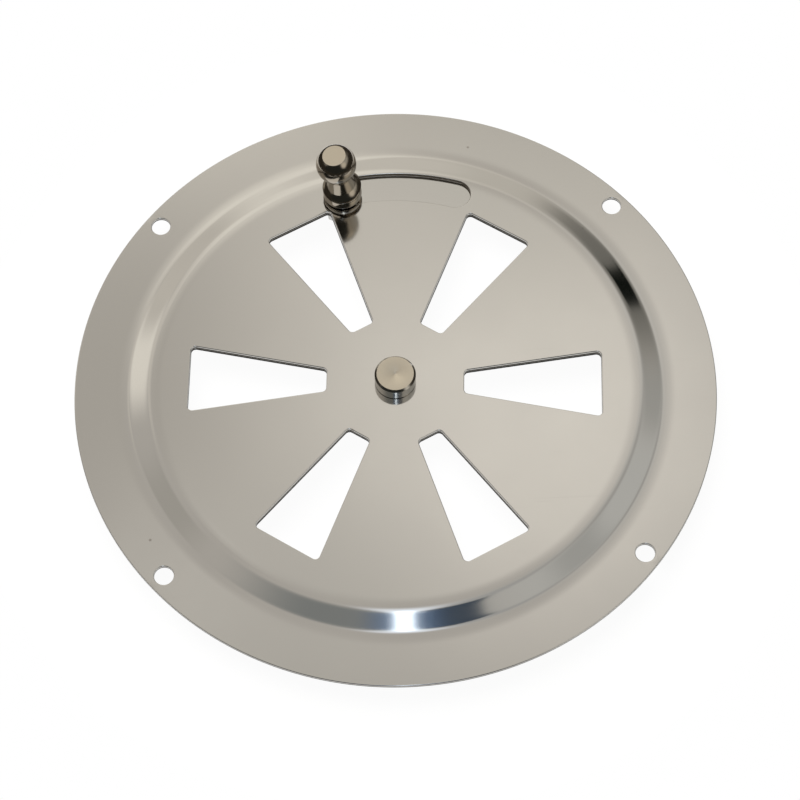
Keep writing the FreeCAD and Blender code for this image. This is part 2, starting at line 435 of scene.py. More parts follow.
def turnedSteel(name, finish, axis):
    material, tree = newMaterial(name)
    where = add(tree, "ShaderNodeTexCoord").outputs["Object"]
    centred = add(tree, "ShaderNodeMapping", {"Vector": where, "Location": (-axis.x, -axis.y, 0)}).outputs[0]
    rings = useGroup(tree, turningMarks, {
        "Vector": centred, "Pitch": finish["pitch"], "Unevenness": finish["unevenness"],
    })["Rings"]
    worn = wornSurface(tree, where, finish)
    # faced ends are rougher than turned sides; their paler colour is a painted sheen, put on the faces that
    # look up
    normal = add(tree, "ShaderNodeNewGeometry").outputs["Normal"]
    faced = remap(tree, parts(tree, normal)["Z"], *facedNormals)
    colour = mixColour(tree, worn["Haze"], finish["colour"], finish["hazeColour"])
    colour = mixColour(tree, times(tree, faced, finish["facedSheenAmount"]), colour, finish["facedSheenColour"])
    rough = plus(tree, worn["Roughness"], times(tree, faced, finish["facedRoughness"]))
    height = times(tree, rings, remap(tree, faced, 0.0, 1.0, finish["sideRings"], 1.0))
    steelShader(tree, colour, rough, {"Height": height, "Strength": finish["bump"]})
    return material


frontFinish = {
    "colour": (0.64, 0.62, 0.585, 1), "hazeColour": (0.60, 0.58, 0.55, 1), "roughness": 0.105,
    "smudge": 0.045, "grain": 0.0, "scratch": 0.04, "speck": 0.55, "speckColour": (0.18, 0.14, 0.11, 1),
    # edge colour: painted shade for the lower part of the punched walls
    "tornWallShadeColour": (0.035, 0.032, 0.027, 1), "slotColour": (0.4, 0.355, 0.3, 1),
    "slotRadii": (0.0407, 0.0475), "wallFrom": 0.62, "slotFrom": 0.95, "raise": 0.0016,
    "tornShadeHeights": (0.00052, 0.00042), "rampMiddle": 0.05, "drawnLean": 0.038, "edgeRoughness": 0.6,
    "bump": 0.1,
}
shutterFinish = dict(frontFinish, roughness=0.1, colour=(0.62, 0.605, 0.575, 1), drawnLean=0.0)
studFinish = {
    "colour": (0.56, 0.53, 0.48, 1), "hazeColour": (0.5, 0.47, 0.42, 1), "roughness": 0.14, "smudge": 0.06,
    "grain": 0.0, "scratch": 0.1, "pitch": 0.00022, "unevenness": 0.7, "facedSheenAmount": 0.9,
    # faced colour: painted sheen on the up-facing ends
    "facedSheenColour": (0.69, 0.615, 0.495, 1), "facedRoughness": 0.22, "sideRings": 0.6, "bump": 0.06,
}
knobFinish = dict(
    studFinish, colour=(0.42, 0.375, 0.31, 1), hazeColour=(0.36, 0.315, 0.25, 1), roughness=0.15, bump=0.08,
)
nutFinish = dict(
    studFinish, colour=(0.58, 0.57, 0.55, 1), hazeColour=(0.5, 0.49, 0.47, 1), roughness=0.26,
    facedSheenAmount=0.0, sideRings=0.0, bump=0.1,
)

onPivot = Vector((0, 0, 0))
frontSteel = sheetSteel("polishedFront", frontFinish)
shutterSteel = sheetSteel("polishedShutter", shutterFinish)
studSteel = turnedSteel("turnedStud", studFinish, onPivot)
knobSteel = turnedSteel("turnedKnob", knobFinish, knobAxis)
nutSteel = turnedSteel("plainFasteners", nutFinish, onPivot)
print("finishes made")


# trees that punch and press the sheet

geometryOut = {"Geometry": "Geometry"}


def shape(tree, kind, inputs, **settings):
    return add(tree, "GeometryNode" + kind, inputs, **settings).outputs[0]


def position(tree):
    return parts(tree, add(tree, "GeometryNodeInputPosition").outputs[0])


def endTree(tree, geometry, source, result):
    whole = shape(tree, "RealizeInstances", {"Geometry": geometry})
    dressed = shape(tree, "SetMaterial", {"Geometry": whole, "Material": source["Material"]})
    tree.links.new(dressed, result["Geometry"])
    return tree


def solidFromOutline(tree, outline, height):
    # closed prism of a flat curve, half above and half below it
    flat = shape(tree, "FillCurve", {"Curve": outline}, mode="NGONS")
    up = joined(tree, {"Z": height})
    wall = shape(tree, "ExtrudeMesh", {
        "Mesh": flat, "Offset": up, "Offset Scale": 1.0, "Individual": False,
    }, mode="FACES")
    whole = add(tree, "GeometryNodeJoinGeometry")
    tree.links.new(wall, whole.inputs[0])
    tree.links.new(shape(tree, "FlipFaces", {"Mesh": flat}), whole.inputs[0])
    closed = shape(tree, "MergeByDistance", {"Geometry": whole.outputs[0], "Distance": mergeDistance})
    down = joined(tree, {"Z": times(tree, height, -0.5)})
    return shape(tree, "Transform", {"Geometry": closed, "Translation": down})


# the same in the plate and in the shutter
openings = {
    "Opening Count": 6, "Fan Turn": math.radians(-3.8), "Inner Edge": 13.4 * mm, "Outer Edge": 40.1 * mm,
    "Inner Width": 4.9 * mm, "Outer Width": 14.25 * mm, "Corner Radius": 0.9 * mm, "Height": 4 * mm,
}
openingCornerSteps = 7
bore = {"Bore Radius": 2.06 * mm}
boreVertices = 64
punchMerge = 2e-6


def makeFanTree():
    tree, source, result = newTree("fanCutters", "GeometryNodeTree", openings, geometryOut)
    length = minus(tree, source["Outer Edge"], source["Inner Edge"])
    halfWay = times(tree, plus(tree, source["Outer Edge"], source["Inner Edge"]), 0.5)
    wedge = shape(tree, "CurvePrimitiveQuadrilateral", {
        "Height": length, "Bottom Width": source["Inner Width"], "Top Width": source["Outer Width"],
        "Offset": 0.0,
    }, mode="TRAPEZOID")
    rounded = shape(tree, "FilletCurve", {
        "Curve": wedge, "Count": openingCornerSteps, "Radius": source["Corner Radius"],
    }, mode="POLY")
    opening = solidFromOutline(tree, rounded, source["Height"])
    outwards = shape(tree, "Transform", {"Geometry": opening, "Translation": joined(tree, {"Y": halfWay})})
    points = shape(tree, "Points", {"Count": source["Opening Count"]})
    pitch = calc(tree, "DIVIDE", 2 * math.pi, source["Opening Count"])
    index = add(tree, "GeometryNodeInputIndex").outputs[0]
    firstTurn = minus(tree, source["Fan Turn"], math.pi / 2)
    turn = joined(tree, {"Z": plus(tree, times(tree, pitch, index), firstTurn)})
    spread = shape(tree, "InstanceOnPoints", {"Points": points, "Instance": outwards, "Rotation": turn})
    tree.links.new(shape(tree, "RealizeInstances", {"Geometry": spread}), result["Geometry"])
    return tree


def roundPunch(tree, source, radiusLabel, vertices):
    return shape(tree, "MeshCylinder", {
        "Vertices": vertices, "Radius": source[radiusLabel], "Depth": source["Height"],
    })


def makePunchTree(name, extraSockets, extraCutters):
    # cuts the fan, the centre bore and what else a sheet needs
    sockets = {"Geometry": "Geometry", **openings, **bore, **extraSockets, "Material": "Material"}
    tree, source, result = newTree(name, "GeometryNodeTree", sockets, geometryOut)
    fan = shape(tree, "Group", {label: source[label] for label in openings}, node_tree=fanTree)
    centreBore = roundPunch(tree, source, "Bore Radius", boreVertices)
    cut = add(tree, "GeometryNodeMeshBoolean", {
        "Mesh 1": source["Geometry"],
    }, operation="DIFFERENCE", solver="EXACT")
    for cutter in [fan, centreBore] + extraCutters(tree, source):
        tree.links.new(cutter, cut.inputs["Mesh 2"])
    clean = shape(tree, "MergeByDistance", {"Geometry": cut.outputs[0], "Distance": punchMerge})
    return endTree(tree, clean, source, result)


def sheetBlank(name, radii, thickness, segments):
    # flat disc: one face inside the first ring, rings of quads outside it
    bm = bmesh.new()
    turns = circleTurns(segments)
    levels = []
    for level in (thickness, 0):
        levels.append([[bm.verts.new(ringPoint(radius, turn, level)) for turn in turns] for radius in radii])
    top, bottom = levels
    bm.faces.new(top[0])
    bm.faces.new(bottom[0][::-1])
    for step in range(segments):
        after = (step + 1) % segments
        for inner, outer in zip(top, top[1:]):
            bm.faces.new((inner[step], outer[step], outer[after], inner[after]))
        for inner, outer in zip(bottom, bottom[1:]):
            bm.faces.new((inner[after], outer[after], outer[step], inner[step]))
        bm.faces.new((top[-1][step], bottom[-1][step], bottom[-1][after], top[-1][after]))
    return newObject(name, meshFrom(name, bm))


punchedEdgeAngle = 40


def softenEdges(thing, width, segments):
    step = thing.modifiers.new("punchedEdge", "BEVEL")
    step.width = width * mm
    step.segments = segments
    step.limit_method = "ANGLE"
    step.angle_limit = math.radians(punchedEdgeAngle)
    step.use_clamp_overlap = False
    step.miter_outer = "MITER_ARC"
    settle(thing)


plate = {
    "radius": 62.5, "sheet": 0.8, "ringStep": 0.23, "firstRing": 47.3, "lastRing": 53.05, "segments": 360,
    "edge": 0.2, "edgeSteps": 3, "slotEndSteps": 16, "slotStep": 0.3, "holeVertices": 56,
}
slot = {
    "Slot Radius": 43.88 * mm, "Slot Width": 6.2 * mm, "Slot Sweep": math.radians(30),
    "Slot Middle": math.radians(86.4),
}
screwHoles = {"Hole Row X": 90.776 * mm, "Hole Row Y": 76.170 * mm, "Hole Radius": 1.85 * mm}
pressing = {
    "Flat Radius": 47.45 * mm, "Bend Radius": 2.6 * mm, "Ramp Angle": math.radians(22.8), "Raise": 1.6 * mm,
    "Sheet": plate["sheet"] * mm, "Soften": 0.5 * mm,
}
# shares of the softening way, and their weights
softenWeights = {-1.0: 0.125, -0.5: 0.25, 0.0: 0.25, 0.5: 0.25, 1.0: 0.125}
nearlyHalf = 0.49999
leastRadius = 1 * mm


def makeSlotTree():
    # a straight slot with round ends, bent round the axis
    sockets = {**slot, "Height": openings["Height"]}
    tree, source, result = newTree("slotCutter", "GeometryNodeTree", sockets, geometryOut)
    width = source["Slot Width"]
    run = times(tree, source["Slot Radius"], source["Slot Sweep"])
    bar = shape(tree, "CurvePrimitiveQuadrilateral", {
        "Width": plus(tree, run, width), "Height": width,
    }, mode="RECTANGLE")
    rounded = shape(tree, "FilletCurve", {
        "Curve": bar, "Count": plate["slotEndSteps"], "Radius": times(tree, width, nearlyHalf),
    }, mode="POLY")
    fine = shape(tree, "ResampleCurve", {"Curve": rounded, "Length": plate["slotStep"] * mm}, mode="LENGTH")
    spot = position(tree)
    half = times(tree, run, 0.5)
    onRun = calc(tree, "MINIMUM", calc(tree, "MAXIMUM", spot["X"], times(tree, half, -1.0)), half)
    past = minus(tree, spot["X"], onRun)
    angle = minus(tree, source["Slot Middle"], calc(tree, "DIVIDE", onRun, source["Slot Radius"]))
    radius = plus(tree, source["Slot Radius"], spot["Y"])
    cosine = calc(tree, "COSINE", angle)
    sine = calc(tree, "SINE", angle)
    bentX = plus(tree, times(tree, radius, cosine), times(tree, past, sine))
    bentY = minus(tree, times(tree, radius, sine), times(tree, past, cosine))
    bent = shape(tree, "SetPosition", {"Geometry": fine, "Position": joined(tree, {"X": bentX, "Y": bentY})})
    tree.links.new(solidFromOutline(tree, bent, source["Height"]), result["Geometry"])
    return tree


def plateCutters(tree, source):
    slotInputs = {label: source[label] for label in [*slot, "Height"]}
    slotCutter = shape(tree, "Group", slotInputs, node_tree=slotTree)
    corners = shape(tree, "MeshGrid", {
        "Size X": source["Hole Row X"], "Size Y": source["Hole Row Y"], "Vertices X": 2, "Vertices Y": 2,
    })
    hole = roundPunch(tree, source, "Hole Radius", plate["holeVertices"])
    holes = shape(tree, "InstanceOnPoints", {"Points": corners, "Instance": hole})
    return [slotCutter, shape(tree, "RealizeInstances", {"Geometry": holes})]


def makePressTree():
    # lifts the middle of a flat sheet: two equal bends with a straight ramp between them
    sockets = {"Geometry": "Geometry", **pressing, "Material": "Material"}
    tree, source, result = newTree("pressedForm", "GeometryNodeTree", sockets, geometryOut)
    spot = position(tree)
    square = plus(tree, times(tree, spot["X"], spot["X"]), times(tree, spot["Y"], spot["Y"]))
    radius = calc(tree, "SQRT", square)
    bend = source["Bend Radius"]
    bendRun = times(tree, bend, calc(tree, "SINE", source["Ramp Angle"]))
    bendRise = times(tree, bend, minus(tree, 1.0, calc(tree, "COSINE", source["Ramp Angle"])))
    slope = calc(tree, "TANGENT", source["Ramp Angle"])
    rampRun = calc(tree, "DIVIDE", minus(tree, source["Raise"], times(tree, bendRise, 2.0)), slope)
    rampStart = plus(tree, source["Flat Radius"], bendRun)
    footEnd = plus(tree, plus(tree, rampStart, rampRun), bendRun)

    def between(value, top):
        return calc(tree, "MINIMUM", calc(tree, "MAXIMUM", value, 0.0), top)

    def arcDrop(run):
        left = minus(tree, times(tree, bend, bend), times(tree, run, run))
        return minus(tree, bend, calc(tree, "SQRT", left))

    def section(where):
        upperRun = between(minus(tree, where, source["Flat Radius"]), bendRun)
        onRamp = between(minus(tree, where, rampStart), rampRun)
        lowerRun = between(minus(tree, footEnd, where), bendRun)
        rampRise = times(tree, slope, minus(tree, rampRun, onRamp))
        bendRises = plus(tree, arcDrop(lowerRun), minus(tree, bendRise, arcDrop(upperRun)))
        lean = calc(tree, "ARCSINE", calc(tree, "DIVIDE", calc(tree, "MINIMUM", upperRun, lowerRun), bend))
        return plus(tree, rampRise, bendRises), lean

    # averaged over a short way, so that the bends run in softly
    rise = 0.0
    tilt = 0.0
    for share, weight in softenWeights.items():
        partRise, partTilt = section(plus(tree, radius, times(tree, source["Soften"], share)))
        rise = plus(tree, rise, times(tree, partRise, weight))
        tilt = plus(tree, tilt, times(tree, partTilt, weight))
    # the sheet keeps its thickness square to the bent middle line
    halfSheet = times(tree, source["Sheet"], 0.5)
    off = minus(tree, spot["Z"], halfSheet)
    shift = times(tree, off, calc(tree, "SINE", tilt))
    outward = plus(tree, 1.0, calc(tree, "DIVIDE", shift, calc(tree, "MAXIMUM", radius, leastRadius)))
    level = plus(tree, plus(tree, rise, halfSheet), times(tree, off, calc(tree, "COSINE", tilt)))
    target = joined(tree, {
        "X": times(tree, spot["X"], outward), "Y": times(tree, spot["Y"], outward), "Z": level,
    })
    pressed = shape(tree, "SetPosition", {"Geometry": source["Geometry"], "Position": target})
    return endTree(tree, pressed, source, result)


fanTree = makeFanTree()
slotTree = makeSlotTree()
plateTree = makePunchTree("punchedPlate", {**slot, **screwHoles}, plateCutters)
pressTree = makePressTree()


def makePlate():
    count = round((plate["lastRing"] - plate["firstRing"]) / plate["ringStep"])
    radii = [plate["firstRing"] + plate["ringStep"] * step for step in range(count + 1)] + [plate["radius"]]
    thing = sheetBlank("frontPlate", radii, plate["sheet"], plate["segments"])
    useTree(thing, plateTree, {**openings, **bore, **slot, **screwHoles, "Material": frontSteel})
    softenEdges(thing, plate["edge"], plate["edgeSteps"])
    useTree(thing, pressTree, {**pressing, "Material": frontSteel})
    return dress(smooth(thing), frontSteel, "cover", "front_plate")


shutter = {"radius": 47.2, "sheet": 0.6, "edge": 0.1, "edgeSteps": 2, "segments": 288}


def shutterCutters(tree, source):
    hole = roundPunch(tree, source, "Bore Radius", boreVertices)
    return [shape(tree, "Transform", {"Geometry": hole, "Translation": source["Knob Place"]})]


shutterTree = makePunchTree("punchedShutter", {"Knob Place": "Vector"}, shutterCutters)


def makeShutter():
    thing = sheetBlank("shutterDisc", [shutter["radius"]], shutter["sheet"], shutter["segments"])
    useTree(thing, shutterTree, {
        **openings, **bore, "Material": shutterSteel, "Knob Place": tuple(knobAxis),
    })
    softenEdges(thing, shutter["edge"], shutter["edgeSteps"])
    place(thing, Matrix.Translation((0, 0, shutterBack * mm)))
    return dress(smooth(thing), shutterSteel, "shutter", "shutter_disc")


frontPlate = makePlate()
print("front plate:", len(frontPlate.data.polygons), "faces")
shutterDisc = makeShutter()
print("shutter disc:", len(shutterDisc.data.polygons), "faces")


# threaded end, one rule for the stud and the knob

thread = {"radius": 2.0, "rowsPerPitch": 12.0, "vertices": 72, "crest": 0.12, "root": 0.85}
threadSizes = {
    "Radius": thread["radius"] * mm, "Depth": 0.38 * mm, "Pitch": 0.7 * mm, "Length": 5 * mm,
    "Run Out": 0.4 * mm,
}


def makeThreadTree():
    sockets = {"Geometry": "Geometry", **threadSizes, "Material": "Material"}
    tree, source, result = newTree("threadedEnd", "GeometryNodeTree", sockets, geometryOut)
    pitches = calc(tree, "DIVIDE", source["Length"], source["Pitch"])
    rod = shape(tree, "MeshCylinder", {
        "Vertices": thread["vertices"], "Radius": source["Radius"], "Depth": source["Length"],
        "Side Segments": calc(tree, "CEIL", times(tree, pitches, thread["rowsPerPitch"])),
    })
    spot = position(tree)
    turn = calc(tree, "DIVIDE", calc(tree, "ARCTAN2", spot["Y"], spot["X"]), 2 * math.pi)
    phase = calc(tree, "FRACT", minus(tree, calc(tree, "DIVIDE", spot["Z"], source["Pitch"]), turn))
    ridge = calc(tree, "ABSOLUTE", minus(tree, times(tree, phase, 2.0), 1.0))
    flank = remap(tree, ridge, thread["crest"], thread["root"])
    # the last turn is chamfered off at the tip
    tip = plus(tree, spot["Z"], times(tree, source["Length"], 0.5))
    cut = calc(tree, "MAXIMUM", flank, remap(tree, tip, 0.0, source["Run Out"], 1.0, 0.0))
    depth = calc(tree, "DIVIDE", times(tree, cut, source["Depth"]), source["Radius"])
    share = minus(tree, 1.0, depth)
    target = joined(tree, {
        "X": times(tree, spot["X"], share), "Y": times(tree, spot["Y"], share), "Z": spot["Z"],
    })
    return endTree(tree, shape(tree, "SetPosition", {"Geometry": rod, "Position": target}), source, result)


threadTree = makeThreadTree()


def threadedEnd(top, bottom, material):
    thing = newObject("threadedEnd", bpy.data.meshes.new("threadedEnd"))
    useTree(thing, threadTree, {**threadSizes, "Length": (top - bottom) * mm, "Material": material})
    return place(thing, Matrix.Translation((0, 0, (top + bottom) / 2 * mm)))


stud = {
    "headRadius": 4.0, "chamfer": 0.4, "baseChamfer": 0.2, "plainRadius": 2.0, "plainEnd": 0.6,
    "threadLap": 0.4, "pip": 0.28, "pipDepth": 0.1, "pipBend": (0.5, 0.7),
}


def makeStud():
    low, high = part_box("pivot_stud")
    top = high.z / mm
    head = stud["headRadius"]
    chamfer = stud["chamfer"]
    base = stud["baseChamfer"]
    plain = stud["plainRadius"]
    end = stud["plainEnd"]
    # the turning tool leaves a small dimple in the middle
    bendRadius, bendDepth = stud["pipBend"]
    profile = [
        (0, top - stud["pipDepth"]), (stud["pip"] * bendRadius, top - stud["pipDepth"] * bendDepth),
        (stud["pip"], top), (head - chamfer, top), (head, top - chamfer), (head, plateFront + base),
        (head - base, plateFront), (plain, plateFront), (plain, end), (0, end),
    ]
    thing = lathe("pivotStud", profile)
    boolean(thing, threadedEnd(end + stud["threadLap"], low.z / mm, studSteel), "UNION")
    return dress(smooth(thing), studSteel, "cover", "pivot_stud")


pivotStud = makeStud()
print("pivot stud:", len(pivotStud.data.polygons), "faces")


knob = {
    "gap": 0.5, "footRadius": 2.3, "ringRadius": 3.9, "ringHeight": 1.7, "ringDraft": 0.2, "ringEdge": 0.25,
    "grooveRadius": 3.2, "grooveWidth": 0.7, "collarRadius": 3.9, "collarChamfer": 0.2, "domeRadius": 4.6,
    "neckFootRadius": 2.9, "neckRadius": 2.3, "ballRadius": 4.0, "ballHeight": 11.7, "flatRadius": 2.3,
    "taper": 25.0, "lean": 6.1, "plainEnd": 0.2, "lap": 0.4, "edgeSteps": 5, "domeSteps": 14,
    "ballSteps": 30, "sharpAngle": 28,
}


def knobStem(ringLow, ringHigh, collarLow):
    # shank, foot, drafted ring and groove
    shank = thread["radius"]
    edge = knob["ringEdge"]
    shankEnd = shutterBack + knob["plainEnd"]
    stemTop = collarLow + knob["lap"]
    topRadius = knob["ringRadius"] - knob["ringDraft"]
    draft = math.degrees(math.atan2(knob["ringDraft"], knob["ringHeight"] - 2 * edge))
    profile = [(0, shankEnd), (shank, shankEnd), (shank, shutterFront)]
    profile += [(knob["footRadius"], shutterFront), (knob["footRadius"], ringLow)]
    profile += arcPoints(knob["ringRadius"] - edge, ringLow + edge, edge, -90, draft, knob["edgeSteps"])
    profile += arcPoints(topRadius - edge, ringHigh - edge, edge, draft, 90, knob["edgeSteps"])
    profile += [(knob["grooveRadius"], ringHigh), (knob["grooveRadius"], stemTop), (0, stemTop)]
    return lathe("knob", profile)


def knobHandle(collarLow):
    # domed collar, neck and flat-topped ball
    dome = knob["domeRadius"]
    ball = knob["ballRadius"]
    edgeAngle = math.degrees(math.acos(knob["collarRadius"] / dome))
    footAngle = math.degrees(math.acos(knob["neckFootRadius"] / dome))
    flatAngle = math.degrees(math.acos(knob["flatRadius"] / ball))
    domeLevel = collarLow + knob["collarChamfer"] - dome * math.sin(math.radians(edgeAngle))
    ballLevel = plateFront + knob["ballHeight"]
    taper = math.radians(knob["taper"])
    taperRun = ball * math.cos(taper) - knob["neckRadius"]
    neckLevel = ballLevel - ball * math.sin(taper) - taperRun / math.tan(taper)
    profile = [(0, collarLow), (knob["collarRadius"] - knob["collarChamfer"], collarLow)]
    profile += arcPoints(0, domeLevel, dome, edgeAngle, footAngle, knob["domeSteps"])
    profile += [(knob["neckRadius"], neckLevel)]
    profile += arcPoints(0, ballLevel, ball, -knob["taper"], flatAngle, knob["ballSteps"])
    profile += [(0, ballLevel + ball * math.sin(math.radians(flatAngle)))]
    return lathe("handle", profile)


def makeKnob():
    ringLow = plateFront + knob["gap"]
    ringHigh = ringLow + knob["ringHeight"]
    collarLow = ringHigh + knob["grooveWidth"]
    thing = knobStem(ringLow, ringHigh, collarLow)
    handle = knobHandle(collarLow)
    # bent at the groove, along the slot
    pivot = Matrix.Translation((0, 0, (ringHigh + collarLow) / 2 * mm))
    place(handle, pivot @ Matrix.Rotation(math.radians(-knob["lean"]), 4, "X") @ pivot.inverted())
    boolean(thing, handle, "UNION")
    boolean(thing, threadedEnd(shutterBack + knob["lap"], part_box("knob")[0].z / mm, knobSteel), "UNION")
    place(thing, Matrix.Translation(knobAxis) @ Matrix.Rotation(knobTurn, 4, "Z"))
    return dress(smooth(thing, knob["sharpAngle"]), knobSteel, "shutter", "knob")


knobPiece = makeKnob()
print("knob:", len(knobPiece.data.polygons), "faces")


# nuts and washers behind the shutter

def fastenerTurn(centre, body):
    # what holds the knob is turned with it
    angle = math.atan2(centre.y, centre.x) if body == "shutter" else 0
    return Matrix.Rotation(angle, 4, "Z")


nut = {
    "acrossFlats": 7.0, "height": 3.2, "bore": 2.03, "mouth": 0.25, "chamferAngle": 30.0, "sides": 6,
    "cornerSpare": 0.02, "faceInset": 0.1, "chamferSpare": 0.07, "segments": 96,
}


def makeNut(name, nodeName, body):
    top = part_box(nodeName)[1].z / mm
    bottom = top - nut["height"]
    flat = nut["acrossFlats"] / 2
    halfSide = math.pi / nut["sides"]
    corner = flat / math.cos(halfSide)
    drop = (corner - flat) * math.tan(math.radians(nut["chamferAngle"])) + nut["chamferSpare"]
    # chamfered round, then the six flats are cut from it
    reach = corner + nut["cornerSpare"]
    face = flat - nut["faceInset"]
    bored = nut["bore"]
    mouth = nut["mouth"]
    outline = [
        (bored, bottom + mouth), (bored + mouth, bottom), (face, bottom), (reach, bottom + drop),
        (reach, top - drop), (face, top), (bored + mouth, top), (bored, top - mouth),
    ]
    thing = lathe(name, outline + outline[:1], nut["segments"])
    hexagon = bmesh.new()
    bmesh.ops.create_cone(
        hexagon, cap_ends=True, segments=nut["sides"], radius1=corner * mm, radius2=corner * mm,
        depth=2 * nut["height"] * mm,
    )
    mask = newObject("hexagon", closedMesh("hexagon", hexagon))
    place(mask, Matrix.Translation((0, 0, (top + bottom) / 2 * mm)) @ Matrix.Rotation(halfSide, 4, "Z"))
    boolean(thing, mask, "INTERSECT")
    centre = middle(nodeName)
    place(thing, Matrix.Translation((centre.x, centre.y, 0)) @ fastenerTurn(centre, body))
    return dress(smooth(thing), nutSteel, body, nodeName)


def washerSection(sizes, low, high):
    inner = sizes["inner"]
    outer = sizes["outer"]
    edge = sizes["round"]
    return [
        (inner + edge, low), (outer - edge, low), (outer, low + edge), (outer, high - edge),
        (outer - edge, high), (inner + edge, high), (inner, high - edge), (inner, low + edge),
    ]


springWasher = {
    "outer": 3.8, "inner": 2.15, "thickness": 0.9, "slit": 0.8, "slant": 25.0, "round": 0.12,
    "segments": 120,
}


def makeSpringWasher(name, nodeName, body):
    halfThick = springWasher["thickness"] / 2
    halfSlit = springWasher["slit"] / 2
    slant = math.tan(math.radians(springWasher["slant"]))
    section = washerSection(springWasher, -halfThick, halfThick)
    bm = bmesh.new()
    rings = []
    for step in range(springWasher["segments"] + 1):
        share = step / springWasher["segments"]
        ring = []
        for radius, height in section:
            # the slit leans, so its two ends do too
            start = math.asin((halfSlit - height * slant) / radius)
            end = 2 * math.pi + math.asin((-halfSlit - height * slant) / radius)
            ring.append(bm.verts.new(ringPoint(radius, start + (end - start) * share, height)))
        rings.append(ring)
    for near, far in zip(rings, rings[1:]):
        for corner in range(len(section)):
            after = (corner + 1) % len(section)
            bm.faces.new((near[corner], near[after], far[after], far[corner]))
    bm.faces.new(rings[0][::-1])
    bm.faces.new(rings[-1])
    thing = newObject(name, closedMesh(name, bm))
    centre = middle(nodeName)
    place(thing, Matrix.Translation(centre) @ fastenerTurn(centre, body))
    return dress(smooth(thing), nutSteel, body, nodeName)


washer = {"outer": 4.5, "inner": 2.15, "thickness": 0.8, "round": 0.12}


def makeWasher():
    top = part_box("pivot_washer")[1].z / mm
    section = washerSection(washer, top - washer["thickness"], top)
    thing = lathe("pivotWasher", section + section[:1])
    return dress(smooth(thing), nutSteel, "cover", "pivot_washer")


makeNut("pivotNut", "pivot_nut", "cover")
makeNut("knobNut", "knob_nut", "shutter")
makeSpringWasher("pivotSpringWasher", "pivot_spring_washer", "cover")
makeSpringWasher("knobSpringWasher", "knob_spring_washer", "shutter")
makeWasher()
print("fasteners made")


# studio: floor, soft room, lamp and camera

white = (1, 1, 1, 1)
floor = {
    "radius": 85.0, "segments": 96, "drop": 0.05, "colour": (0.93, 0.93, 0.93, 1), "white": 1.0,
    "shadow": 0.06,
}


def makeFloor():
    bm = bmesh.new()
    bmesh.ops.create_circle(bm, cap_ends=True, segments=floor["segments"], radius=floor["radius"] * mm)
    thing = newObject("floor", meshFrom("floor", bm))
    thing.location.z = cadBox[0].z - floor["drop"] * mm
    material, tree = newMaterial("paleFloor")
    path = add(tree, "ShaderNodeLightPath").outputs
    mirrored = calc(tree, "MAXIMUM", path["Is Glossy Ray"], path["Is Transmission Ray"])
    seen = calc(tree, "MAXIMUM", path["Is Camera Ray"], mirrored)
    matt = add(tree, "ShaderNodeBsdfDiffuse", {"Color": floor["colour"]}).outputs[0]
    glow = add(tree, "ShaderNodeEmission", {"Color": white, "Strength": floor["white"]}).outputs[0]
    share = times(tree, seen, 1.0 - floor["shadow"])
    pale = add(tree, "ShaderNodeMixShader", {0: share, 1: matt, 2: glow}).outputs[0]
    # clear from below
    below = add(tree, "ShaderNodeNewGeometry").outputs["Backfacing"]
    clear = add(tree, "ShaderNodeBsdfTransparent").outputs[0]
    whole = add(tree, "ShaderNodeMixShader", {0: below, 1: pale, 2: clear}).outputs[0]
    tree.links.new(whole, add(tree, "ShaderNodeOutputMaterial").inputs["Surface"])
    thing.data.materials.append(material)


def aim(azimuth, elevation):
    turn = math.radians(azimuth)
    lift = math.radians(elevation)
    return Vector((math.cos(turn) * math.cos(lift), math.sin(turn) * math.cos(lift), math.sin(lift)))


leastAhead = 0.001
frontFrom = 0.02


def makeCardGroup():
    # a soft-edged panel far away; the distance is 1 on its edge
    tree, source, result = newTree("roomCard", "ShaderNodeTree", {
        "Behind": "Color", "Look": "Vector", "Aim": "Vector", "Side": "Vector", "Up": "Vector",
        "Half Width": 0.2, "Half Height": 0.2, "Squareness": 2.0, "Softness": 0.3, "Colour": "Color",
    }, {"Colour": "Color"})

    def dot(label):
        return vectorCalc(tree, "DOT_PRODUCT", source["Look"], source[label])

    ahead = calc(tree, "MAXIMUM", dot("Aim"), leastAhead)
    total = 0.0
    for label, half in (("Side", "Half Width"), ("Up", "Half Height")):
        offset = calc(tree, "DIVIDE", calc(tree, "DIVIDE", dot(label), ahead), source[half])
        part = calc(tree, "POWER", calc(tree, "ABSOLUTE", offset), source["Squareness"])
        total = plus(tree, total, part)
    distance = calc(tree, "POWER", total, calc(tree, "DIVIDE", 1.0, source["Squareness"]))
    outer = plus(tree, 1.0, source["Softness"])
    inner = minus(tree, 1.0, source["Softness"])
    mask = remap(tree, distance, outer, inner, interpolation_type="SMOOTHSTEP")
    factor = times(tree, mask, calc(tree, "GREATER_THAN", dot("Aim"), frontFrom))
    tree.links.new(mixColour(tree, factor, source["Behind"], source["Colour"]), result["Colour"])
    return tree


view = {
    "target": (0.74, -3.08, 0.0), "distance": 515.04, "azimuth": -1.76, "elevation": 63.17, "roll": 1.10,
    "lens": 119.17, "sensor": 36.0, "clip": (0.01, 50.0),
}
room = {
    "wall": (0.58, 0.56, 0.525, 1), "low": (0.045, 0.04, 0.032, 1), "lowEnd": 0.28, "wallStart": 0.48,
    "strength": 1.0,
}
